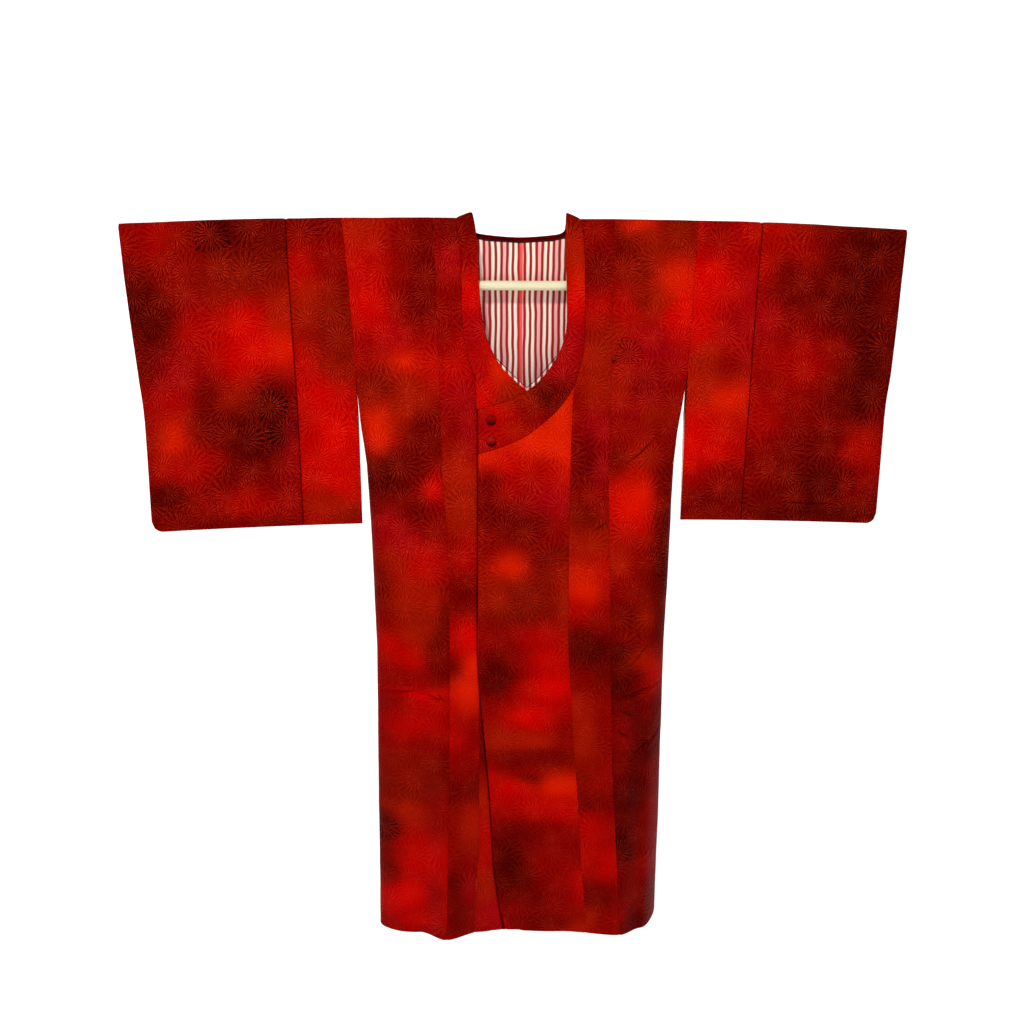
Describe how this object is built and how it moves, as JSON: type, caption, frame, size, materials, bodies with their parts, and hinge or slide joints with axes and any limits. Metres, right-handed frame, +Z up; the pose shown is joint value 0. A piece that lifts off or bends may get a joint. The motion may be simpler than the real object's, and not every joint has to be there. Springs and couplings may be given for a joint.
{
  "type": "kimono coat on a hanger",
  "caption": "Full-length lined kimono coat with a round collar, overlapping fronts and covered buttons, hanging open-sleeved on a plain rod hanger.",
  "frame": {"origin": "middle of the hanger's crossbar, where the coat on its hanger is held", "axes": "+X to the wearer's left, +Y towards the wearer's back, +Z up"},
  "size_m": [1.253, 0.1144, 1.2332],
  "materials": {
    "coat_silk": "figured silk, cloud-dyed in reds",
    "collar_silk": "figured silk, folded double",
    "lining_silk": "smooth, striped red on cream",
    "button_silk": "cloth-covered dome",
    "hanger_rod": "plain cream"
  },
  "bodies": {
    "root": {"front_left_middle_upper": "coat_silk", "front_left_middle_lower": "coat_silk", "front_left_side_upper": "coat_silk", "front_left_side_lower": "coat_silk", "back_left_upper": "coat_silk", "back_left_lower": "coat_silk", "overlap_left": "coat_silk", "collar_left": "collar_silk", "sleeve_left_inner_front": "coat_silk", "sleeve_left_outer_front": "coat_silk", "sleeve_left_inner_back": "coat_silk", "sleeve_left_outer_back": "coat_silk", "front_right_middle_upper": "coat_silk", "front_right_middle_lower": "coat_silk", "front_right_side_upper": "coat_silk", "front_right_side_lower": "coat_silk", "back_right_upper": "coat_silk", "back_right_lower": "coat_silk", "overlap_right": "coat_silk", "collar_right": "collar_silk", "sleeve_right_inner_front": "coat_silk", "sleeve_right_outer_front": "coat_silk", "sleeve_right_inner_back": "coat_silk", "sleeve_right_outer_back": "coat_silk", "collar_back": "collar_silk", "lining_back": "lining_silk", "lining_front": "lining_silk", "button_upper": "button_silk", "button_lower": "button_silk", "hanger": "hanger_rod"}
  },
  "joints": []
}
